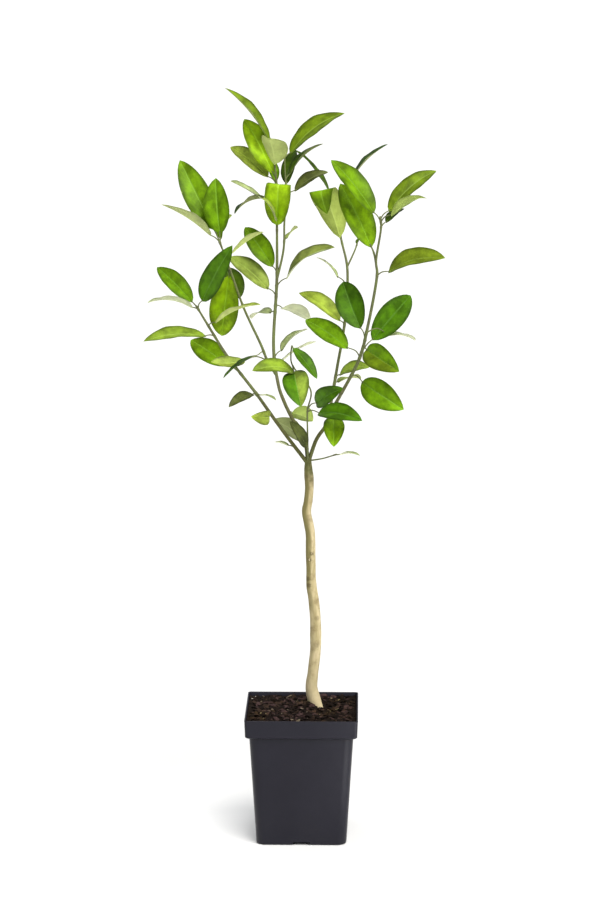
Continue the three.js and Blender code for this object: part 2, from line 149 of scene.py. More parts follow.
# Half width, height and corner radius of the wall, from under the floor, up outside, to the inside
POT_LEVELS = [
    (60.2, 5, 11.2), (59.6, 0.3, 11.2), (60.5, 0, 11.5), (62, 1.5, 13), (66.6, 78, 13),
    (71.2, 153.9, 13), (74.4, 154.3, 4.5), (76.4, 156, 4.5), (77.3, 178.4, 4.5), (77.5, 179.4, 4.5),
    (76.9, 180, 4.2), (75.9, 179.7, 3), (75.5, 179, 2.7), (74.6, 156.8, 2.7), (69.4, 155.8, 11.2),
    (60.2, POT_FLOOR, 11.2),
]
CORNER_CUTS = 8
EDGE_SOFTNESS = 0.7
SOFT_ANGLE = 28
SMOOTH_ANGLE = 35
FOOT_HALF = 62
# Width, depth and height of the block that cuts a notch, half of it under the ground
NOTCH = (23, 10, 8.4)
HOLE_RADIUS = 6
HOLE_SIDES = 24
HOLE_FROM_MIDDLE = 38
PAD_RADIUS = 24
PAD_SIDES = 48
PAD_HEIGHT = 6.5
BLACK_PLASTIC = (0.0075, 0.007, 0.0125)
WORN_AND_LIT_PLASTIC = (0.0125, 0.012, 0.019)
SILT = (0.035, 0.031, 0.027)


def square_stack(levels):
    """Adds a rounded square for each level to the mesh in edit mode, and bridges them in order."""
    for half, height, corner in levels:
        bpy.ops.mesh.select_all(action="DESELECT")
        bpy.ops.mesh.primitive_plane_add(size=2 * half * MM, location=(0, 0, height * MM))
        bpy.ops.mesh.bevel(
            offset=corner * MM, offset_type="OFFSET", segments=CORNER_CUTS, affect="VERTICES",
        )
        bpy.ops.mesh.delete(type="ONLY_FACE")
    mesh = bpy.context.object.data
    ring = 4 * (CORNER_CUTS + 1)

    def pick(*rings):
        shell = bmesh.from_edit_mesh(mesh)
        shell.verts.ensure_lookup_table()
        bpy.ops.mesh.select_all(action="DESELECT")
        for number in rings:
            for corner in shell.verts[number * ring:(number + 1) * ring]:
                corner.select_set(True)
        shell.select_flush(True)
        bmesh.update_edit_mesh(mesh)

    for number in range(len(levels) - 1):
        pick(number, number + 1)
        bpy.ops.mesh.bridge_edge_loops()
    for number in (0, len(levels) - 1):
        pick(number)
        bpy.ops.mesh.edge_face_add()


def start_piece(name):
    """Adds an empty mesh piece and goes into edit mode on it."""
    bpy.ops.object.select_all(action="DESELECT")
    bpy.ops.mesh.primitive_plane_add()
    piece = bpy.context.object
    piece.name = piece.data.name = name
    bpy.ops.object.mode_set(mode="EDIT")
    bpy.ops.mesh.delete(type="VERT")
    return piece


def close_piece(piece, angle=SMOOTH_ANGLE):
    """Leaves edit mode with the faces pointing outwards and the shading smooth up to an angle."""
    bpy.ops.mesh.select_all(action="SELECT")
    bpy.ops.mesh.normals_make_consistent(inside=False)
    bpy.ops.object.mode_set(mode="OBJECT")
    bpy.ops.object.shade_smooth_by_angle(angle=math.radians(angle))
    return piece


def cut(piece, cutter, operation="DIFFERENCE"):
    """Cuts a piece with another, joins them or keeps what they share, and removes the other."""
    bpy.ops.object.select_all(action="DESELECT")
    bpy.context.view_layer.objects.active = piece
    piece.select_set(True)
    trim = piece.modifiers.new("cut", "BOOLEAN")
    trim.operation = operation
    trim.object = cutter
    trim.solver = "EXACT"
    bpy.ops.object.modifier_apply(modifier=trim.name)
    bpy.data.objects.remove(cutter)


def mottle_group():
    """Soft cloudy patches, for colour that varies over a surface: 0 to 1."""
    group = bpy.data.node_groups.new("mottle", "ShaderNodeTree")
    group.interface.new_socket("Vector", in_out="INPUT", socket_type="NodeSocketVector")
    for name, value in (("Scale", 20.0), ("Detail", 4.0), ("Low", 0.35), ("High", 0.65)):
        socket = group.interface.new_socket(name, in_out="INPUT", socket_type="NodeSocketFloat")
        socket.default_value = value
    group.interface.new_socket("Mask", in_out="OUTPUT", socket_type="NodeSocketFloat")
    inlet = group.nodes.new("NodeGroupInput").outputs
    cloud = knot(group, "ShaderNodeTexNoise", {
        "Vector": inlet["Vector"], "Scale": inlet["Scale"], "Detail": inlet["Detail"],
        "Roughness": 0.6,
    })
    spread = knot(group, "ShaderNodeMapRange", {
        "Value": cloud.outputs["Fac"], "From Min": inlet["Low"], "From Max": inlet["High"],
    })
    knot(group, "NodeGroupOutput", {"Mask": spread.outputs["Result"]})
    return group


MOTTLE = mottle_group()


def place_of(tree, stretch=(1, 1, 1)):
    """The surface's place in the part's own frame, stretched along the axes."""
    where = knot(tree, "ShaderNodeTexCoord")
    return knot(tree, "ShaderNodeMapping", {
        "Vector": where.outputs["Object"], "Scale": stretch,
    }).outputs["Vector"]


def patches(tree, vector, scale, low=0.35, high=0.65, detail=4.0):
    """A mask of soft patches."""
    group = knot(tree, "ShaderNodeGroup", node_tree=MOTTLE)
    tree.links.new(vector, group.inputs["Vector"])
    for name, value in (("Scale", scale), ("Detail", detail), ("Low", low), ("High", high)):
        group.inputs[name].default_value = value
    return group.outputs["Mask"]


def blend(tree, mask, below, above, mode="MIX"):
    """Mixes two colours by a mask."""
    made = knot(tree, "ShaderNodeMix", data_type="RGBA", blend_type=mode)
    for number, value in ((0, mask), (6, below), (7, above)):
        socket = made.inputs[number]
        if isinstance(value, bpy.types.NodeSocket):
            tree.links.new(value, socket)
        elif isinstance(value, tuple):
            socket.default_value = (*value, 1)
        else:
            socket.default_value = value
    return made.outputs[2]


def fit_range(tree, value, low, high, to_low=0.0, to_high=1.0):
    """Spreads a value from one range over another."""
    return knot(tree, "ShaderNodeMapRange", {
        "Value": value, "From Min": low, "From Max": high, "To Min": to_low, "To Max": to_high,
    }).outputs["Result"]


def raise_bumps(tree, shader, height, strength, depth):
    """Feeds a height to the shader's normal."""
    bump = knot(tree, "ShaderNodeBump", {"Height": height, "Strength": strength, "Distance": depth})
    tree.links.new(bump.outputs["Normal"], shader.inputs["Normal"])


pot = start_piece("pot_shell")
square_stack(POT_LEVELS)
close_piece(pot)
soften = pot.modifiers.new("soften", "BEVEL")
soften.width = EDGE_SOFTNESS * MM
soften.segments = 3
soften.angle_limit = math.radians(SOFT_ANGLE)
bpy.ops.object.modifier_apply(modifier=soften.name)
for quarter in range(4):
    turn = quarter * math.pi / 2
    bpy.ops.mesh.primitive_cube_add(size=1, location=(0, 0, 0))
    notch = bpy.context.object
    bpy.ops.transform.resize(value=[side * MM for side in NOTCH])
    bpy.ops.transform.translate(value=(0, -FOOT_HALF * MM, 0))
    bpy.ops.transform.rotate(value=turn, orient_axis="Z", center_override=(0, 0, 0))
    cut(pot, notch)
    reach = HOLE_FROM_MIDDLE * MM * math.sqrt(2)
    place = (reach * math.cos(turn + math.pi / 4), reach * math.sin(turn + math.pi / 4), 0)
    bpy.ops.mesh.primitive_cylinder_add(
        vertices=HOLE_SIDES, radius=HOLE_RADIUS * MM, depth=3 * POT_FLOOR * MM, location=place,
    )
    cut(pot, bpy.context.object)
bpy.ops.mesh.primitive_cylinder_add(
    vertices=PAD_SIDES, radius=PAD_RADIUS * MM, depth=PAD_HEIGHT * MM,
    location=(0, 0, PAD_HEIGHT * MM / 2),
)
cut(pot, bpy.context.object, "UNION")
bpy.ops.object.shade_smooth_by_angle(angle=math.radians(SMOOTH_ANGLE))

plastic, tree, shader = finish("pot_plastic", BLACK_PLASTIC, 0.42, Specular_IOR_Level=0.2)
place = place_of(tree)
height = knot(tree, "ShaderNodeSeparateXYZ", {"Vector": place}).outputs["Z"]
# Painted shade and wear: darker towards the foot, paler towards the top, plus random pale patches
lit_top_and_wear = knot(tree, "ShaderNodeMath", {
    0: fit_range(tree, height, 0.01, 0.16, 0.0, 0.6), 1: patches(tree, place, 7.0, 0.3, 0.75),
}, operation="ADD").outputs[0]
colour = blend(tree, lit_top_and_wear, BLACK_PLASTIC, WORN_AND_LIT_PLASTIC)
splash = knot(tree, "ShaderNodeMath", {
    0: fit_range(tree, height, 0.0, 0.05, 0.15, 0.03), 1: patches(tree, place, 38.0, 0.5, 0.8, 8.0),
}, operation="MULTIPLY").outputs[0]
tree.links.new(blend(tree, splash, colour, SILT), shader.inputs["Base Color"])
scuffs = patches(tree, place_of(tree, (1, 1, 0.25)), 60.0, 0.2, 0.8, 2.0)
tree.links.new(fit_range(tree, scuffs, 0, 1, 0.26, 0.4), shader.inputs["Roughness"])
raise_bumps(tree, shader, patches(tree, place, 700.0, 0.2, 0.8, 2.0), 0.25, 0.0002)
pot.data.materials.append(plastic)
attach(pot, "root")
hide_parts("pot")

# Potting mix. Composted bark and peat, pressed into the pot by hand and settled by watering. It
# fills the pot to a finger's width below the rim, rough on top, and heaped round the trunk's foot.
MIX_LEVELS = [(59.9, 8.3, 10.9), (69.1, 156.1, 10.9), (74.2, 157.1, 2.4), (75.1, 184, 2.4)]
MIX_TOP = 175
MIX_SPAN = 160
MIX_DEPTH = 170
MIX_CELLS = 120
MIX_ANGLE = 60
# Height of the lumps, coarse crumbs and fine crumbs, and how far apart they lie
LUMPS, CRUMBS, FINE_CRUMBS = (2.2, 26), (1.5, 4.2), (0.9, 1.9)
TRUNK_FOOT = (18.5, 22.5, 172)
HEAP_PLACE = (7, 15)
HEAP_SPREAD = 17
HEAP_HEIGHT = 6.5
HOLLOW_PLACE = (25.5, 13.5)
HOLLOW_SPREAD = 9
HOLLOW_DEPTH = 3.5
DARK_MIX = (0.0045, 0.0025, 0.0015)
BROWN_MIX = (0.017, 0.0105, 0.007)


def mix_height(x, y):
    """Height of the mix's top in millimetres at a place in millimetres."""
    at = Vector((x, y, 0))
    rough = LUMPS[0] * noise.fractal(at / LUMPS[1], 1.0, 2.0, 3)
    rough += CRUMBS[0] * noise.noise(at / CRUMBS[1])
    rough += FINE_CRUMBS[0] * noise.noise(at / FINE_CRUMBS[1] + Vector((9, 4, 0)))
    heap = HEAP_HEIGHT * math.exp(-(math.dist((x, y), HEAP_PLACE) / HEAP_SPREAD) ** 2)
    hollow = HOLLOW_DEPTH * math.exp(-(math.dist((x, y), HOLLOW_PLACE) / HOLLOW_SPREAD) ** 2)
    return MIX_TOP + rough + heap - hollow


bpy.ops.object.select_all(action="DESELECT")
bpy.ops.mesh.primitive_grid_add(
    x_subdivisions=MIX_CELLS, y_subdivisions=MIX_CELLS, size=MIX_SPAN * MM,
    location=(0, 0, MIX_TOP * MM),
)
mix = bpy.context.object
mix.name = mix.data.name = "potting_mix"
for corner in mix.data.vertices:
    place = mix.matrix_world @ corner.co
    corner.co.z = mix_height(place.x / MM, place.y / MM) * MM - mix.location.z
bpy.ops.object.mode_set(mode="EDIT")
bpy.ops.mesh.select_all(action="SELECT")
bpy.ops.mesh.extrude_region_move(TRANSFORM_OT_translate={"value": (0, 0, -MIX_DEPTH * MM)})
bpy.ops.transform.resize(value=(1, 1, 0), center_override=(0, 0, 0))
close_piece(mix)
bpy.ops.object.transform_apply(location=True, rotation=False, scale=False)
core = start_piece("core")
square_stack(MIX_LEVELS)
close_piece(core)
cut(mix, core, "INTERSECT")
bpy.ops.object.shade_smooth_by_angle(angle=math.radians(MIX_ANGLE))

peat, tree, shader = finish("potting_mix", DARK_MIX, 0.92, Specular_IOR_Level=0.08)
place = place_of(tree)
colour = blend(tree, patches(tree, place, 260.0, 0.42, 0.7, 6.0), DARK_MIX, BROWN_MIX)
tree.links.new(colour, shader.inputs["Base Color"])
raise_bumps(tree, shader, patches(tree, place, 900.0, 0.2, 0.8, 8.0), 0.8, 0.0008)
mix.data.materials.append(peat)
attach(mix, "root")
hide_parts("soil")

# Bark chips and grit. Flakes of pine bark, some fresh and red-brown, most weathered to a dull
# purple-brown, with a few tan splinters and white grains of perlite. They lie loose on the mix.
CREASE_ANGLE = 50
CHIP_SEED = 5
CHIP_SIDES = 6
# Height and width of each ring of a flake's outline, as shares
CHIP_RINGS = ((-0.5, 0.7), (0.1, 1.0), (0.5, 0.65))
DAMP_TINT = (1, 0.98, 0.62)
CHIP_REACH = 73.5
TRUNK_CLEAR = 11
# Name, colour, how many are strewn, and their smallest and largest size
CHIP_KINDS = [
    ("chip_weathered", (0.041, 0.023, 0.022), 230, (5.0, 13.0)),
    ("chip_dark", (0.0075, 0.0042, 0.003), 620, (4.0, 13.0)),
    ("chip_brown", (0.024, 0.014, 0.009), 240, (4.0, 13.0)),
    ("chip_tan", (0.12, 0.095, 0.07), 60, (2.5, 8.0)),
    ("perlite", (0.42, 0.4, 0.38), 9, (1.5, 3.2)),
]


def mesh_piece(name, corners, faces, kinds, materials, spread=None):
    """Makes a piece from arrays in millimetres: kinds are material numbers, spread a flat sheet."""
    made = bpy.data.meshes.new(name)
    made.from_pydata((np.asarray(corners) * MM).tolist(), [], faces)
    for material in materials:
        made.materials.append(material)
    made.polygons.foreach_set("material_index", kinds)
    if spread is not None:
        sheet = made.uv_layers.new(name="spread")
        order = np.zeros(len(made.loops), np.int32)
        made.loops.foreach_get("vertex_index", order)
        sheet.data.foreach_set("uv", np.asarray(spread, np.float32)[order].ravel())
    made.update()
    piece = bpy.data.objects.new(name, made)
    bpy.context.scene.collection.objects.link(piece)
    bpy.ops.object.select_all(action="DESELECT")
    bpy.context.view_layer.objects.active = piece
    piece.select_set(True)
    bpy.ops.object.shade_smooth_by_angle(angle=math.radians(CREASE_ANGLE))
    return piece


def chip(place, size, chance):
    """A flat flake with a ragged outline, thicker in the middle, tipped a little out of level."""
    turn = chance.uniform(0, math.tau)
    tip = chance.normal(0, 0.3, 2)
    wide = size * chance.uniform(0.35, 0.75)
    thick = max(0.8, size * chance.uniform(0.12, 0.3))
    rings = []
    for level, share in CHIP_RINGS:
        for side in range(CHIP_SIDES):
            angle = math.tau * side / CHIP_SIDES
            ragged = share * chance.uniform(0.75, 1.15)
            long, broad = size / 2 * math.cos(angle), wide / 2 * math.sin(angle)
            rings.append((long * ragged, broad * ragged, level * thick))
    flake = np.array(rings)
    flake[:, 2] += flake[:, 0] * tip[0] + flake[:, 1] * tip[1]
    cos, sin = math.cos(turn), math.sin(turn)
    flake[:, :2] = flake[:, :2] @ np.array([[cos, sin], [-sin, cos]])
    faces = [tuple(range(CHIP_SIDES))[::-1], tuple(range(2 * CHIP_SIDES, 3 * CHIP_SIDES))]
    for level in range(2):
        for side in range(CHIP_SIDES):
            a, b = level * CHIP_SIDES + side, level * CHIP_SIDES + (side + 1) % CHIP_SIDES
            faces.append((a, b, b + CHIP_SIDES, a + CHIP_SIDES))
    return flake + place, faces


chance = np.random.default_rng(CHIP_SEED)
corners, faces, kinds, chip_materials = [], [], [], []
for kind, (name, colour, count, sizes) in enumerate(CHIP_KINDS):
    bark, tree, shader = finish(name, colour, 0.85, Specular_IOR_Level=0.08)
    fibre = patches(tree, place_of(tree, (1, 0.3, 1)), 420.0, 0.3, 0.7, 5.0)
    fibrous = blend(tree, fibre, tuple(0.55 * c for c in colour), tuple(1.35 * c for c in colour))
    damp = patches(tree, place_of(tree), 16.0, 0.48, 0.6, 2.0)
    tree.links.new(blend(tree, damp, fibrous, DAMP_TINT, "MULTIPLY"), shader.inputs["Base Color"])
    chip_materials.append(bark)
    for _ in range(count):
        x, y = chance.uniform(-CHIP_REACH, CHIP_REACH, 2)
        from_trunk = math.hypot(x - TRUNK_FOOT[0], y - TRUNK_FOOT[1])
        size = chance.uniform(*sizes)
        if from_trunk < TRUNK_CLEAR + size / 2 or max(abs(x), abs(y)) + size / 2 > CHIP_REACH:
            continue
        lift = chance.uniform(0.0, 1.3)
        flake, flake_faces = chip((x, y, mix_height(x, y) + lift), size, chance)
        faces += [tuple(len(corners) + i for i in face) for face in flake_faces]
        kinds += [kind] * len(flake_faces)
        corners += flake.tolist()
chips = mesh_piece("bark_chips", corners, faces, kinds, chip_materials)
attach(chips, "root")

# Trunk and boughs. One smooth stem of tan bark, no thicker than a thumb, with a slight flare at
# the mix, pruning scars where low shoots were taken off, and green-brown bark from the fork on.
# It grew, so trunk and boughs are one: the boughs leave the fork and taper into the leafy shoots.
TRUNK_SIDES = 36
TRUNK_RINGS = 300
BOUGH_SIDES = 16
BOUGH_STEP = 2.5
BARK_ANGLE = 60
LINE_SAMPLES = 401
LOOK_AHEAD = 0.004
FLARE_HEIGHT, FLARE_DEPTH, FLARE_LOBES = 16, 1.5, 3
OPEN_SCAR = 0.85
TAN_BARK = (0.35, 0.29, 0.14)
PALE_BARK = (0.56, 0.47, 0.28)
OLD_BARK = (0.22, 0.17, 0.075)
OLIVE_BARK = (0.08, 0.078, 0.02)
GREEN_BARK = (0.115, 0.125, 0.037)
GREY_BARK = (0.135, 0.135, 0.062)
SHADED_SIDE_TAN = (0.21, 0.18, 0.065)
SCAR_RIM = (0.1, 0.075, 0.03)
# Points of a route: right, back, height and radius. A shoot opens with the share that is bare bough
TRUNK = [
    (20.3, 22.5, 165, 10.6), (17.6, 22.5, 178, 9.7), (12.6, 21, 200, 8.3), (14.5, 20, 222, 7.6),
    (17.6, 18.8, 252, 7.5), (18.5, 17.5, 280, 8), (17.2, 16, 312, 7.4), (15, 15.2, 331, 7.1),
    (12.4, 14.4, 347, 6.9), (12, 13.4, 374, 6.5), (11.3, 12.6, 396, 6.8), (10.9, 11.6, 422, 6.5),
    (7.8, 10.8, 440, 6.4), (6, 10.4, 454, 6.2), (8.2, 9.9, 469, 6), (9.4, 9.3, 486, 6),
    (9, 8.6, 502, 6.6), (8.2, 8.1, 514, 5.7), (8, 8, 530, 3.6),
]
SHOOTS = {
    "left": (0.395, [
        (7, 7, 521, 2.8), (-15, 6, 550, 2.5), (-34, 6, 576, 2.4), (-63, 8, 617, 2.2),
        (-101, 12, 666, 1.9), (-127, 16, 707, 1.7), (-144, 18, 735, 1.2),
    ]),
    "centre": (0.285, [
        (8, 8, 521, 2.9), (4, 12, 548, 2.7), (-6, 16, 566, 2.6), (-24, 24, 600, 2.4),
        (-34, 31, 629, 2.3), (-40, 43, 679, 2.2), (-36, 63, 762, 2.1), (-36, 76, 839, 1.6),
        (-36, 84, 886, 1.4), (-43, 94, 950, 1),
    ]),
    "right": (0.345, [
        (8, 8, 521, 2.9), (19, 0, 554, 2.6), (32, -6, 575, 2.5), (43, -14, 602, 2.4),
        (76, -33, 668, 2.2), (89, -48, 720, 2), (100, -65, 784, 1.9), (99, -71, 809, 1.6),
        (105, -80, 850, 1.4), (104, -84, 868, 1.1),
    ]),
    "back": (0.13, [
        (35, -8, 580, 2.2), (40, 4, 610, 2.1), (47, 20, 650, 2), (57.5, 44, 712, 1.9),
        (60.5, 66, 778, 1.8), (51, 82, 824, 1.4), (47, 93, 880, 1),
    ]),
    "leftUpper": (0, [
        (-37, 34, 639, 2), (-48, 22, 660, 1.9), (-57, 11, 685, 1.8), (-78, -5, 734, 1.6),
        (-94, -12, 781, 1.4), (-111, -14, 828, 1.1),
    ]),
    "front": (0, [
        (7.5, 6, 524, 1.4), (7.5, -10, 563, 1.2), (7.7, -26, 599, 1.1), (12, -40, 630, 1.1),
        (-11, -51, 663, 1), (-14, -54, 680, 1), (-12.5, -58, 692, 0.9),
    ]),
    "low": (0, [(9, 8, 524, 1.2), (28, 3, 528, 1), (47, -3, 535, 0.9)]),
}
# Scars on the trunk: height, turn round it (0 is the front, 90 the right), size, lift and darkness
SCARS = [
    (504, -30, 3.4, 1.0, 0.5), (499, 45, 3.2, 1.1, 0.4), (452, -75, 7.0, 0.9, 0),
    (436, 70, 6.0, 0.7, 0), (395, 14, 2.6, 1.7, 0.9), (386, -12, 2.9, 1.6, 0.9),
    (359, -38, 3.0, 1.2, 0.8), (350, -30, 3.2, 1.4, 0.8), (346, 75, 7.0, 0.8, 0),
    (303, 20, 3.4, 0.5, 0.35), (265, 5, 4.4, 0.8, 0.4), (228, -130, 3.2, 1.0, 0.7),
    (288, 160, 3.0, 1.1, 0.8), (360, 140, 3.0, 1.2, 0.8), (440, 170, 3.2, 1.0, 0.7),
]


def centre_line(route):
    """A smooth line through a route's points, with its share of length and its radii."""
    points = np.array(route, float)
    ends = np.vstack([2 * points[0] - points[1], points, 2 * points[-1] - points[-2]])
    places = np.linspace(0, len(points) - 1, LINE_SAMPLES)
    low = np.minimum(places.astype(int), len(points) - 2)
    t = (places - low)[:, None]
    before, here, there, after = (ends[low + i, :3] for i in range(4))
    leave, arrive = (there - before) / 2, (after - here) / 2
    line = (
        here + leave * t + (3 * (there - here) - 2 * leave - arrive) * t ** 2
        + (2 * (here - there) + leave + arrive) * t ** 3
    )
    steps = np.linalg.norm(np.diff(line, axis=0), axis=1)
    run = np.concatenate([[0], np.cumsum(steps)])
    radii = np.interp(places, range(len(points)), points[:, 3])
    return {"line": line, "share": run / run[-1], "length": run[-1], "radii": radii}


def along_line(limb, shares):
    """Points, directions and radii at shares of a line's length."""
    shares = np.atleast_1d(shares)

    def at(values):
        return np.stack([np.interp(values, limb["share"], limb["line"][:, i]) for i in range(3)], 1)

    ahead = at(np.minimum(shares + LOOK_AHEAD, 1)) - at(np.maximum(shares - LOOK_AHEAD, 0))
    ahead /= np.linalg.norm(ahead, axis=1)[:, None]
    return at(shares), ahead, np.interp(shares, limb["share"], limb["radii"])


def sides_of(ahead):
    """Two directions across each direction: the first points right, the second to the back."""
    front = np.array([0.0, -1.0, 0.0])
    right = np.cross(ahead, front)
    right /= np.linalg.norm(right, axis=1)[:, None]
    return right, np.cross(ahead, right)


def bend_cylinder(name, limb, share_from, share_to, sides, rings, relief):
    """Adds a cylinder, cuts it into rings and bends it along a limb, with the bark's relief."""
    bpy.ops.object.select_all(action="DESELECT")
    bpy.ops.mesh.primitive_cylinder_add(vertices=sides, radius=1, depth=1)
    piece = bpy.context.object
    piece.name = piece.data.name = name
    bpy.ops.object.mode_set(mode="EDIT")
    bpy.ops.mesh.select_mode(type="EDGE")
    bpy.ops.mesh.select_all(action="DESELECT")
    shell = bmesh.from_edit_mesh(piece.data)
    for edge in shell.edges:
        edge.select_set(abs(edge.verts[0].co.z - edge.verts[1].co.z) > 0.5)
    bmesh.update_edit_mesh(piece.data)
    bpy.ops.mesh.subdivide(number_cuts=rings - 1)
    bpy.ops.mesh.select_mode(type="VERT")
    bpy.ops.object.mode_set(mode="OBJECT")
    unit = np.array([corner.co for corner in piece.data.vertices])
    shares = share_from + (share_to - share_from) * (unit[:, 2] + 0.5)
    points, ahead, radii = along_line(limb, shares)
    right, back = sides_of(ahead)
    turn = np.arctan2(unit[:, 0], -unit[:, 1])
    radii = radii + np.array([relief(*values) for values in zip(points, turn, radii)])
    placed = points + right * (unit[:, 0] * radii)[:, None]
    placed += back * (unit[:, 1] * radii)[:, None]
    piece.data.vertices.foreach_set("co", (placed * MM).ravel())
    bpy.ops.object.shade_smooth_by_angle(angle=math.radians(BARK_ANGLE))
    return piece


def trunk_relief(point, turn, radius):
    """How far the bark stands out: lumps, fine furrows, root flare lobes and pruning scars."""
    around = Vector((math.sin(turn), -math.cos(turn), 0)) * 1.6
    height = point[2]
    out = 0.42 * noise.noise(around + Vector((0, 0, height / 22)))
    out += 0.2 * noise.noise(around * 3.5 + Vector((0, 0, height / 9)))
    out -= 0.3 * max(0.0, noise.noise(around * 9 + Vector((5, 2, height / 30))))
    flare = max(0.0, 1 - (height - TRUNK_FOOT[2]) / FLARE_HEIGHT)
    out -= FLARE_DEPTH * flare ** 2 * math.cos(FLARE_LOBES * turn + 0.6)
    for scar_height, scar_turn, size, lift, _ in SCARS:
        rise = height - scar_height
        if abs(rise) < 3 * size:
            sweep = (turn - math.radians(scar_turn) + math.pi) % math.tau - math.pi
            away = math.hypot(rise, sweep * radius) / size
            out += lift * (math.exp(-away * away) - 0.75 * math.exp(-6 * away * away))
    return out


def bough_relief(point, turn, _):
    """Slight lumps and ridges of young bark."""
    around = Vector((math.sin(turn), -math.cos(turn), 0)) * 2.2
    ridge = 0.07 * noise.noise(around * 2 + Vector((point[0] / 25, 0, point[2] / 25)))
    return ridge + 0.16 * noise.noise(around + Vector((0, point[0] / 9, point[2] / 9)))


trunk_line = centre_line(TRUNK)
shoot_lines = {name: centre_line(route) for name, (_, route) in SHOOTS.items()}
trunk = bend_cylinder("trunk_bark", trunk_line, 0, 1, TRUNK_SIDES, TRUNK_RINGS, trunk_relief)
bpy.ops.object.mode_set(mode="EDIT")
bpy.ops.mesh.select_all(action="SELECT")
bpy.ops.mesh.bisect(
    plane_co=(0, 0, TRUNK_FOOT[2] * MM), plane_no=(0, 0, 1), clear_inner=True, use_fill=True,
)
bpy.ops.object.mode_set(mode="OBJECT")
boughs = [
    bend_cylinder(
        f"bough_{name}_bark", shoot_lines[name], 0, bare, BOUGH_SIDES,
        int(shoot_lines[name]["length"] * bare / BOUGH_STEP), bough_relief,
    )
    for name, (bare, _) in SHOOTS.items() if bare
]

wood, tree, shader = finish("bark", TAN_BARK, 0.78, Specular_IOR_Level=0.3)
place = place_of(tree)
height = knot(tree, "ShaderNodeSeparateXYZ", {"Vector": place}).outputs["Z"]
upright = place_of(tree, (1, 1, 0.16))
colour = blend(tree, patches(tree, upright, 190.0, 0.35, 0.7), TAN_BARK, PALE_BARK)
colour = blend(tree, patches(tree, place, 75.0, 0.5, 0.72), colour, OLD_BARK)
foot = fit_range(tree, height, 0.235, 0.172)
colour = blend(tree, foot, colour, PALE_BARK)
wavering = knot(tree, "ShaderNodeMath", {
    0: height, 1: fit_range(tree, patches(tree, place, 60.0), 0, 1, -0.012, 0.012),
}, operation="ADD").outputs[0]
# Painted shade: the trunk's left side, from 30 cm up to the fork, darker and more olive
faces_out = knot(tree, "ShaderNodeTexCoord").outputs["Normal"]
sideways = knot(tree, "ShaderNodeSeparateXYZ", {"Vector": faces_out}).outputs["X"]
leftward = fit_range(tree, sideways, 0.2, -0.3)
shaded_side = knot(tree, "ShaderNodeMath", {
    0: fit_range(tree, wavering, 0.3, 0.37), 1: leftward,
}, operation="MULTIPLY").outputs[0]
colour = blend(tree, shaded_side, colour, SHADED_SIDE_TAN)
ragged = fit_range(tree, patches(tree, place, 420.0, 0.3, 0.7), 0, 1, -0.0012, 0.0012)
rims = hearts = 0.0
for scar_height, scar_turn, size, _, darkness in SCARS:
    if darkness:
        scar_share = np.interp(scar_height, trunk_line["line"][:, 2], trunk_line["share"])
        points, ahead, radii = along_line(trunk_line, scar_share)
        right, back = sides_of(ahead)
        sweep = math.radians(scar_turn)
        spot = points[0] + radii[0] * (right[0] * math.sin(sweep) - back[0] * math.cos(sweep))
        away = knot(
            tree, "ShaderNodeVectorMath", {0: place, 1: tuple(spot * MM)}, operation="DISTANCE",
        ).outputs["Value"]
        away = knot(tree, "ShaderNodeMath", {0: away, 1: ragged}, operation="ADD").outputs[0]
        size *= MM
        rims = knot(tree, "ShaderNodeMath", {
            0: rims, 1: fit_range(tree, away, 1.3 * size, 0.6 * size, 0, darkness),
        }, operation="MAXIMUM").outputs[0]
        hearts = knot(tree, "ShaderNodeMath", {
            0: hearts,
            1: fit_range(tree, away, 0.6 * size, 0.3 * size, 0, 1 if darkness > OPEN_SCAR else 0),
        }, operation="MAXIMUM").outputs[0]
colour = blend(tree, hearts, blend(tree, rims, colour, SCAR_RIM), PALE_BARK)
greening = fit_range(tree, wavering, 0.49, 0.522)
young = blend(tree, patches(tree, upright, 260.0, 0.35, 0.65), OLIVE_BARK, GREEN_BARK)
greyed = blend(tree, fit_range(tree, wavering, 0.56, 0.64), young, GREY_BARK)
tree.links.new(blend(tree, greening, colour, greyed), shader.inputs["Base Color"])
raise_bumps(tree, shader, patches(tree, upright, 520.0, 0.25, 0.75, 6.0), 0.45, 0.0006)
for piece in (trunk, *boughs):
    piece.data.materials.append(wood)
    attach(piece, "root")
    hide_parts(piece.name.removesuffix("_bark"))

# Leaves. An orange's leaf is a long oval with a point, dark and waxy above and pale and dull
# below, folded a little along its midrib and arched to its tip, with a faintly waved edge.
# Each grows from a node along a shoot on a short stalk, and young ones are a bright yellow-green.
LEAF_STEPS = 18
LEAF_COLUMNS = (-1, -0.84, -0.62, -0.38, -0.16, -0.05, 0, 0.05, 0.16, 0.38, 0.62, 0.84, 1)
LEAF_THICK = 0.5
# Fullness of the outline, and how sharply it opens at the foot and closes at the tip
LEAF_OUTLINE = (2.82, 0.7, 0.8)
# Least and greatest lift of each half from flat, in degrees
LEAF_FOLD = (12, 26)
# Depth and number of the slow waves and of the fine ripples along the edge
LEAF_WAVE, LEAF_RIPPLE = (0.02, 1.5), (0.008, 4.2)
CURL_CUTS = 20
TURN_OVER = 0.16
# Where a blade flattens ahead of a turned tip: how far before it, over what share, and how much
FLATTENING = (0.35, 0.25, 0.9)
MIDRIB_HALF = 0.55
MIDRIB_DEPTHS = (0.35, 0.55)
STALK_RADIUS = 0.85
STALK_TAPER = (1.15, 1, 0.75)
STALK_BEND = (0.45, 0.2)
MARGIN_SHADE_STRENGTH = 0.85
MIDRIB_STRENGTH = 0.75
# Each side: roughness, shine, darkest and lightest patch, painted shade at the margin, midrib
# and height of the quilting
LEAF_LOOKS = {
    "upper": (0.4, 0.08, 0.7, 1.6, 0.36, 1.55, 0.25),
    "under": (0.65, 0.05, 0.84, 1.22, 0.66, 1.2, 0.4),
}
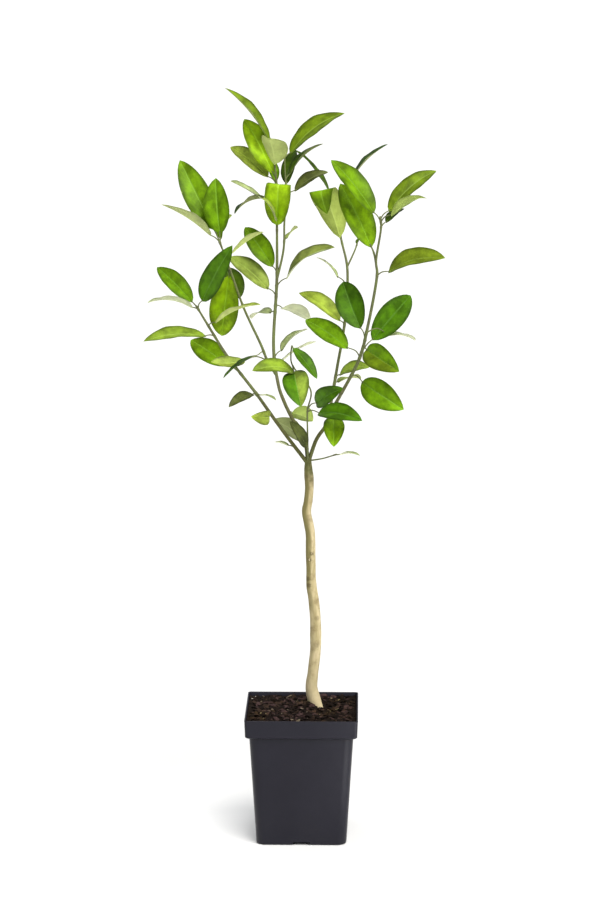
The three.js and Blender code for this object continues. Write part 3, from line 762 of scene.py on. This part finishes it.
# Colours of the upper and the lower side. Besides the leaves' own old and young greens, the steps
# from shade to vivid are painted light and shade: darker tints for leaves in shadow, brighter for
# leaves lit from behind
LEAF_TINTS = {
    "shade": ((0.028, 0.06, 0.008), (0.3, 0.33, 0.14)),
    "deep": ((0.045, 0.088, 0.003), (0.16, 0.2, 0.06)),
    "dark": ((0.058, 0.15, 0.003), (0.2, 0.26, 0.09)),
    "mid": ((0.11, 0.215, 0.003), (0.3, 0.38, 0.1)),
    "bright": ((0.15, 0.28, 0.004), (0.34, 0.44, 0.1)),
    "vivid": ((0.23, 0.38, 0.006), (0.4, 0.5, 0.1)),
    "olive": ((0.14, 0.2, 0.01), (0.36, 0.43, 0.05)),
    "dull": ((0.2, 0.245, 0.05), (0.27, 0.31, 0.12)),
    "light": ((0.21, 0.3, 0.035), (0.42, 0.48, 0.18)),
    "lime": ((0.31, 0.4, 0.05), (0.52, 0.6, 0.2)),
    "pale": ((0.26, 0.34, 0.06), (0.42, 0.48, 0.19)),
    "grey": ((0.3, 0.36, 0.15), (0.65, 0.69, 0.45)),
    "rolled": ((0.13, 0.24, 0.004), (0.38, 0.47, 0.1)),
    "sage": ((0.112, 0.175, 0.005), (0.3, 0.36, 0.1)),
    "fresh": ((0.17, 0.255, 0.02), (0.36, 0.42, 0.12)),
    "grass": ((0.12, 0.248, 0.003), (0.34, 0.42, 0.1)),
    "moss": ((0.07, 0.085, 0.018), (0.2, 0.22, 0.1)),
}
# A mass: its name, its shoot, its leaves, and its side shoots, each a route and its leaves
# A leaf: share of the shoot, reach of the tip to the right, back and up, stalk, width, roll of the
# upper face (0 front, 90 sky, 180 back), arch in % of length, tint of the blade or of its two
# halves (two tints are painted light and shade on the lit and shaded halves of the fold), and for a
# tip that is turned over, the turn in degrees and its place along the blade
MASSES = [
    ("foliage_left", "left", [
        (0.453, -35, -45, -12, 5, 18, 50, 12, "moss"),
        (0.443, 27, -36, -2, 6, 9, 90, 8, "grey"),
        (0.578, -71, 50, 39, 24, 33, 22, 7, "bright"),
        (0.818, -95, -26, -4, 11, 32, 66, 8, "fresh"),
        (0.877, 73, -62, 38, 14, 22, 100, 7, "lime"),
        (0.98, -67, -28, 12, 8, 30, 104, 12, "grey"),
        (0.993, -56, 33, 50, 9, 29, 30, 6, "grass"),
        (0.98, 49, -50, 93, 14, 32, 15, 7, "dark"),
    ], []),
    ("foliage_left_upper", "leftUpper", [
        (0.128, -74, -45, 4, 34, 26, 62, -6, "pale/lime"),
        (0.195, -52, -72, -25, 9, 14, 80, 6, "shade"),
        (0.555, -26, 52, 45, 12, 31, 20, 6, "deep"),
        (0.8, -14, 54, -98, 9, 44, 5, 4, "vivid"),
        (0.88, 51, 18, 33, 10, 28, 106, 5, "lime"),
        (0.963, -7, 8, 90, 16, 38, -12, 6, "grass"),
        (0.983, 14, 50, 31, 9, 24, 70, 8, "bright"),
        (0.988, -76, -36, 54, 15, 36, 108, 5, "pale"),
        (0.995, -55, 46, 104, 17, 38, 8, 5, "mid"),
    ], []),
    ("foliage_centre", "centre", [
        (0.315, 56, 46, 27, 8, 22, 100, 6, "grey"),
        (0.34, 45, 45, 33, 16, 24, 82, 10, "grey"),
        (0.48, -34, 58, -17, 12, 25, 96, 10, "grey"),
        (0.5, 47, 52, -28, 13, 26, 140, 10, "grey"),
        (0.53, -66, 41, 49, 15, 33, 42, 7, "pale"),
        (0.56, 80, -35, 58, 18, 37, 76, 13, "grey/dull"),
        (0.6, -45, 38, 59, 11, 31, 20, 6, "mid"),
        (0.733, 3, -18, 65, 6, 40, 8, 4, "vivid", 150, 0.62),
        (0.75, -19, -50, 41, 6, 15, 84, 6, "pale"),
        (0.8, -62, -50, 41, 26, 24, 84, 2, "grey"),
        (0.85, -56, -51, -26, 24, 25, 100, 12, "shade"),
        (0.86, -10, 58, 32, 14, 16, 20, 6, "grass"),
        (0.87, -65, 42, 48, 17, 30, 40, 6, "lime"),
        (0.885, -45, 38, 80, 10, 37, 22, 6, "vivid"),
        (0.92, -8, -60, 46, 9, 42, 152, 8, "lime"),
        (0.99, -66, 22, 77, 7, 30, 74, 6, "sage"),
    ], [([
        (-36, 63, 764, 1.7), (-27, 72, 805, 1.5), (-26, 78, 839, 1.4), (-24, 84, 878, 1.2),
        (-26, 92, 930, 0.9),
    ], [
        (0.32, 18, 45, 14, 10, 17, 100, 6, "pale"),
        (0.68, 58, 10, 33, 14, 26, 58, 10, "moss"),
        (0.75, 12, 44, 48, 7, 24, 34, 6, "deep"),
        (0.82, 52, 35, 46, 8, 22, 82, 10, "deep"),
        (0.99, 82, 23, 60, 9, 40, 60, 11, "sage"),
    ])]),
    ("foliage_right", "right", [
        (0.383, 70, -55, -37, 19, 38, 6, 7, "grass"),
        (0.46, -74, 53, 43, 22, 33, 38, 7, "grass"),
        (0.48, 66, 53, 70, 23, 41, 10, 6, "dark"),
        (0.5, 48, -60, -23, 7, 37, 10, 8, "sage/grass"),
        (0.53, -30, 55, 71, 18, 42, -4, 5, "dark"),
        (0.56, 66, 67, -21, 42, 25, 98, 8, "grey"),
        (0.78, 89, -44, 29, 17, 37, 56, 12, "olive"),
        (0.96, 31, 45, 20, 13, 17, 60, 8, "deep"),
        (0.98, 59, -58, 37, 21, 19, 134, 13, "bright"),
        (0.98, -66, 47, 77, 15, 35, 38, 6, "mid"),
        (0.99, 74, 40, 60, 15, 32, 48, 10, "sage"),
    ], [([(99, -69, 802, 1.4), (96, -70, 818, 1.2), (91, -72, 830, 1)], [
        (0.55, -45, 41, 88, 8, 41, 22, 5, "bright"),
    ])]),
    ("foliage_back", "back", [
        (0.17, 36, 51, -2, 9, 23, 108, 8, "pale"),
        (0.2, 46, -20, 16, 6, 25, 62, 16, "light"),
        (0.43, -63, 33, 39, 8, 32, 52, 7, "lime"),
        (0.59, -44, 45, 36, 22, 13, 90, 10, "grey"),
        (0.787, -29, -60, 75, 10, 44, 165, 12, "rolled", 140, 0.73),
        (0.96, -68, 66, 70, 22, 13, 70, 8, "deep"),
        (0.99, 68, -24, 73, 24, 25, 84, 8, "shade"),
    ], [([(60.6, 68, 783, 1.3), (70, 74, 803, 1.1), (74, 78, 814, 0.9)], [
        (0.9, 5, 9, 10, 2, 8, 60, 6, "deep"),
    ])]),
    ("foliage_front", "front", [
        (0.102, -24, -38, 45, 4, 20, 40, 6, "moss"),
        (0.424, 74, -53, -3, 18, 31, 46, 11, "dark"),
        (0.452, 48, -59, 38, 20, 28, 28, 8, "dark"),
        (0.776, -60, -45, 10, 5, 31, 62, 13, "fresh"),
        (0.839, 12, -69, -43, 10, 38, 4, 8, "dark/light"),
        (0.995, 34, -22, -40, 2, 20, 44, 5, "dark"),
    ], []),
    ("foliage_low", "low", [(0.94, 34, -13, 1, 6, 14, 92, 10, "grey")], []),
    ("leaf_fork_left", "left", [(0.1, -30, 10, 6, 10, 15, 92, 6, "grey")], []),
    ("leaf_fork_back", "centre", [(0.07, -44, 52, 19, 6, 28, 165, 8, "dull")], []),
    ("leaf_low_left", "left", [(0.307, -27, -55, 9, 8, 22, 8, 10, "lime")], []),
    ("leaf_low_centre", "centre", [(0.17, 33, 14, -16, 5, 30, 152, 8, "bright")], []),
    ("leaf_low_right", "right", [(0.24, 1, -60, -43, 20, 31, 4, 8, "bright")], []),
]


def seeded(seed):
    """A repeatable source of numbers from 0 to 1, the same one that shapes the solid leaves."""
    state = seed * 7919 + 17
    while True:
        state = state * 16807 % 2147483647
        yield state / 2147483647


def unit(vector):
    """The direction of a vector."""
    return vector / np.linalg.norm(vector)


def grow_leaf(limb, row, draw):
    """One leaf: its closed blade, with sides, halves and flat sheet, and its stalk's route."""
    share, right, back, up, stalk, width, roll, arch, _, *more = row
    turned_tip, ridge = (math.radians(more[0]), more[1]) if more else (0, 1)
    node, ahead, _ = (values[0] for values in along_line(limb, share))
    reach = np.array([right, back, up], float)
    blade = (np.linalg.norm(reach) - stalk) / ridge
    along = unit(reach)
    front = np.array([0.0, -1.0, 0.0])
    front = unit(front - front.dot(along) * along)
    sky = np.cross(along, front) * (-1 if right > 0 else 1)
    face = front * math.cos(math.radians(roll)) + sky * math.sin(math.radians(roll))
    side = np.cross(face, along)
    fold = math.radians(LEAF_FOLD[0] + (LEAF_FOLD[1] - LEAF_FOLD[0]) * next(draw))
    phase = next(draw) * math.tau
    base = node + along * stalk
    bow = arch / 100 * 4 * blade

    t = np.linspace(0, 1, LEAF_STEPS + 1)
    fine = np.linspace(0, 1, CURL_CUTS * LEAF_STEPS + 1)
    curl = turned_tip * np.clip((fine - ridge) / TURN_OVER + 0.5, 0, 1)
    slope = np.arctan(bow / blade * (1 - 2 * fine)) - curl
    stretch = np.hypot(1, bow / blade * (1 - 2 * fine)) * blade / (CURL_CUTS * LEAF_STEPS)
    run = np.cumsum(np.cos(slope) * stretch) - np.cos(slope[0]) * stretch[0]
    rise = np.cumsum(np.sin(slope) * stretch) - np.sin(slope[0]) * stretch[0]
    run, rise, slope = (values[::CURL_CUTS] for values in (run, rise, slope))
    fullness, round_foot, round_tip = LEAF_OUTLINE
    half = width / 2 * fullness * t ** round_foot * (1 - t) ** round_tip
    columns = np.array(LEAF_COLUMNS)
    out = np.abs(columns)
    lean = 1.3 * out - 0.3 * out ** 2
    wave = LEAF_WAVE[0] * blade * out ** 2 * np.sin(
        math.tau * LEAF_WAVE[1] * t[:, None] + phase + np.sign(columns)
    )
    wave += LEAF_RIPPLE[0] * blade * out ** 3 * np.sin(
        math.tau * LEAF_RIPPLE[1] * t[:, None] + 2 * phase + 2 * columns
    )
    before, over, most = FLATTENING
    flat = np.clip((t - ridge + before) / over, 0, most)[:, None] if more else 0
    lift = (half[:, None] * math.sin(fold) * lean + wave * (half / width)[:, None]) * (1 - flat)
    groove = np.exp(-(out * half[:, None] / MIDRIB_HALF) ** 2)
    body = np.minimum(1, 4 * half / width)[:, None] * np.sqrt(np.maximum(0, 1 - out ** 4))
    upper = lift + LEAF_THICK / 2 * body - MIDRIB_DEPTHS[0] * groove * body
    under = lift - LEAF_THICK / 2 * body - MIDRIB_DEPTHS[1] * groove * body * (1 - t[:, None])

    centre = base + np.outer(run, along) + np.outer(rise, face)
    normal = np.outer(np.cos(slope), face) - np.outer(np.sin(slope), along)
    across = half[:, None] * math.cos(fold) * columns
    sheets = [
        centre[:, None] + across[..., None] * side + level[..., None] * normal[:, None]
        for level in (upper, under)
    ]
    count = len(columns)
    corners = [sheets[0][0, 0], *sheets[0][1:-1].reshape(-1, 3), sheets[0][-1, 0]]
    spread = [(0.5, 0)] + [((c + 1) / 2, v) for v in t[1:-1] for c in columns] + [(0.5, 1)]
    inner = {}
    for step in range(1, LEAF_STEPS):
        for column in range(1, count - 1):
            inner[step, column] = len(corners)
            corners.append(sheets[1][step, column])
            spread.append(((columns[column] + 1) / 2, t[step]))

    def top(step, column):
        if step in (0, LEAF_STEPS):
            return 0 if step == 0 else 1 + (LEAF_STEPS - 1) * count
        return 1 + (step - 1) * count + column

    def below(step, column):
        return inner.get((step, column), top(step, column))

    faces, kinds = [], []
    for step in range(LEAF_STEPS):
        for column in range(count - 1):
            for kind, corner in enumerate((top, below)):
                loop = list(dict.fromkeys((
                    corner(step, column), corner(step, column + 1),
                    corner(step + 1, column + 1), corner(step + 1, column),
                )))
                faces.append(loop if kind else loop[::-1])
                kinds.append((kind, column >= count // 2))
    bend = node + along * stalk * STALK_BEND[0] + ahead * stalk * STALK_BEND[1]
    midrib = base + unit(face * (bow / blade) + along) * 4
    stalk_route = [
        (*at, STALK_RADIUS * share) for at, share in zip((node, bend, midrib), STALK_TAPER)
    ]
    return corners, faces, kinds, spread, stalk_route


tints = list(LEAF_TINTS)
corners, faces, kinds, spread = [], [], [], []
# For the next section: each stem's line, the share it starts at (None for a stalk or a bud) and its
# nodes; and the shoot and row of every leaf
twig_lines, node_places = [], []
for number, (name, shoot, rows, side_twigs) in enumerate(MASSES):
    draw = seeded(number + 1)
    growth = [(shoot_lines[shoot], rows)]
    for route, twig_rows in side_twigs:
        growth.append((centre_line(route), twig_rows))
        twig_lines.append((growth[-1][0], 0, [row[0] for row in twig_rows]))
    for limb, limb_rows in growth:
        for row in limb_rows:
            made, made_faces, made_kinds, made_spread, stalk = grow_leaf(limb, row, draw)
            faces += [tuple(len(corners) + i for i in face) for face in made_faces]
            # Two tints on one blade paint light and shade on the two halves of its fold
            halves = [2 * tints.index(tint) for tint in row[8].split("/")]
            kinds += [halves[-1 if second else 0] + kind for kind, second in made_kinds]
            corners += made
            spread += made_spread
            twig_lines.append((centre_line(stalk), None, []))
            node_places.append((limb, row))


def veins_group():
    """Masks on a leaf's flat sheet: midrib, quilting between the veins, and margin for painted shade.
    """
    group = bpy.data.node_groups.new("veins", "ShaderNodeTree")
    group.interface.new_socket("Sheet", in_out="INPUT", socket_type="NodeSocketVector")
    for name in ("Midrib", "Quilt", "Rim"):
        group.interface.new_socket(name, in_out="OUTPUT", socket_type="NodeSocketFloat")
    inlet = group.nodes.new("NodeGroupInput").outputs["Sheet"]
    parts = knot(group, "ShaderNodeSeparateXYZ", {"Vector": inlet})

    def sum_of(kind, *terms):
        return knot(group, "ShaderNodeMath", dict(enumerate(terms)), operation=kind).outputs[0]

    out = sum_of("ABSOLUTE", sum_of("SUBTRACT", parts.outputs["X"], 0.5))
    midrib = fit_range(group, out, 0.045, 0.012)
    wander = fit_range(group, patches(group, inlet, 9.0, 0.2, 0.8, 2.0), 0, 1, -0.4, 0.4)
    along = sum_of("MULTIPLY", parts.outputs["Y"], 62.0)
    climb = sum_of("SUBTRACT", along, sum_of("MULTIPLY", out, 48.0))
    ribs = sum_of("SINE", sum_of("ADD", climb, wander))
    quilt = fit_range(group, ribs, -1.0, -0.55)
    uneven = fit_range(group, patches(group, inlet, 5.0, 0.25, 0.75, 2.0), 0, 1, -0.1, 0.06)
    rim = fit_range(group, sum_of("ADD", out, uneven), 0.26, 0.47)
    knot(group, "NodeGroupOutput", {"Midrib": midrib, "Quilt": quilt, "Rim": rim})
    return group


def dimmed(tree, mask, share):
    """A mask at part of its strength."""
    return knot(tree, "ShaderNodeMath", {0: mask, 1: share}, operation="MULTIPLY").outputs[0]


VEINS = veins_group()
leaf_materials = []
for name, faces_of_leaf in LEAF_TINTS.items():
    for (which, look), colour in zip(LEAF_LOOKS.items(), faces_of_leaf):
        roughness, shine, weak, strong, margin, pale, quilting = look
        blade, tree, shader = finish(
            f"leaf_{name}_{which}", colour, roughness, Specular_IOR_Level=shine,
        )
        sheet = knot(tree, "ShaderNodeUVMap", uv_map="spread").outputs["UV"]
        veins = knot(tree, "ShaderNodeGroup", {"Sheet": sheet}, node_tree=VEINS)
        cloud = patches(tree, place_of(tree), 48.0, 0.36, 0.66, 4.0)
        tone = blend(
            tree, cloud, tuple(weak * c for c in colour), tuple(min(1, strong * c) for c in colour),
        )
        # Painted shade: the blade darker towards its margin
        edge = dimmed(tree, veins.outputs["Rim"], MARGIN_SHADE_STRENGTH)
        tone = blend(tree, edge, tone, tuple(margin * c for c in colour))
        rib = dimmed(tree, veins.outputs["Midrib"], MIDRIB_STRENGTH)
        tone = blend(tree, rib, tone, tuple(min(1, c * pale + 0.03) for c in colour))
        tree.links.new(tone, shader.inputs["Base Color"])
        raise_bumps(tree, shader, veins.outputs["Quilt"], quilting, 0.0004)
        leaf_materials.append(blade)
leaves = mesh_piece("leaves", corners, faces, kinds, leaf_materials, spread)
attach(leaves, "root")
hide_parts(*(name for name, *_ in MASSES))

# Shoots and leaf stalks. Green wood thinner than a pencil, slightly angled, swollen at each node,
# with a small bud in the angle of every leaf. They grow on from the boughs' ends.
TWIG_SIDES = 10
TWIG_STEP = 3
STALK_SIDES = 7
# Height of the swelling at a node, and its reach along the shoot
NODE_SWELLING = (0.4, 2.2)
# Half width and length of a bud, and its profile in shares of them
BUD_SIZE = (0.95, 2.6)
BUD_SHAPE = ((0, 0.8), (0.4, 1), (0.75, 0.7), (1, 0.2))
SHOOT_GREEN = (0.15, 0.19, 0.05)
SHOOT_GREY = (0.11, 0.115, 0.05)


def tube(limb, share_from, sides, swellings):
    """A closed tube along a line, swollen at some shares of it, with rounded ends."""
    steps = max(5, int(limb["length"] * (1 - share_from) / TWIG_STEP))
    shares = np.linspace(share_from, 1, steps + 1)
    points, ahead, radii = along_line(limb, shares)
    swell, reach = NODE_SWELLING
    for swelling in swellings:
        radii = radii + swell * np.exp(-((shares - swelling) * limb["length"] / reach) ** 2)
    right, back = sides_of(ahead)
    angles = np.linspace(0, math.tau, sides, endpoint=False)
    rings = points[:, None] + radii[:, None, None] * (
        right[:, None] * np.cos(angles)[:, None] + back[:, None] * np.sin(angles)[:, None]
    )
    corners = rings.reshape(-1, 3).tolist()
    faces = []
    for step in range(steps):
        for i in range(sides):
            a, b = step * sides + i, step * sides + (i + 1) % sides
            faces.append((a, b, b + sides, a + sides))
    first, last = len(corners), len(corners) + 1
    ends = (points[0] - ahead[0] * radii[0] * 0.6, points[-1] + ahead[-1] * radii[-1])
    corners += [end.tolist() for end in ends]
    for i in range(sides):
        a, b = i, (i + 1) % sides
        faces.append((b, a, first))
        faces.append((steps * sides + a, steps * sides + b, last))
    return corners, faces


for name, (bare, _) in SHOOTS.items():
    shares = [row[0] for limb, row in node_places if limb is shoot_lines[name]]
    twig_lines.append((shoot_lines[name], bare, shares))
for limb, row in node_places:
    node, ahead, radius = (values[0] for values in along_line(limb, row[0]))
    away = unit(unit(np.array(row[1:4], float)) + 1.4 * ahead)
    foot = node + away * radius * 0.5
    width, long = BUD_SIZE
    bud = [(*(foot + away * long * share), width * wide) for share, wide in BUD_SHAPE]
    twig_lines.append((centre_line(bud), None, []))
corners, faces = [], []
for limb, share_from, swellings in twig_lines:
    sides = STALK_SIDES if share_from is None else TWIG_SIDES
    made, made_faces = tube(limb, share_from or 0, sides, swellings)
    faces += [tuple(len(corners) + i for i in face) for face in made_faces]
    corners += made
green_wood, tree, shader = finish("green_bark", SHOOT_GREEN, 0.6, Specular_IOR_Level=0.3)
place = place_of(tree)
streak = patches(tree, place_of(tree, (1, 1, 0.2)), 240.0, 0.35, 0.7)
tree.links.new(blend(tree, streak, SHOOT_GREY, SHOOT_GREEN), shader.inputs["Base Color"])
raise_bumps(tree, shader, streak, 0.3, 0.0004)
twigs = mesh_piece("twigs", corners, faces, [0] * len(faces), [green_wood])
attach(twigs, "root")

low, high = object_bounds()
sizes = {"cad": [list(cad_low), list(cad_high)], "visual": [list(low), list(high)]}
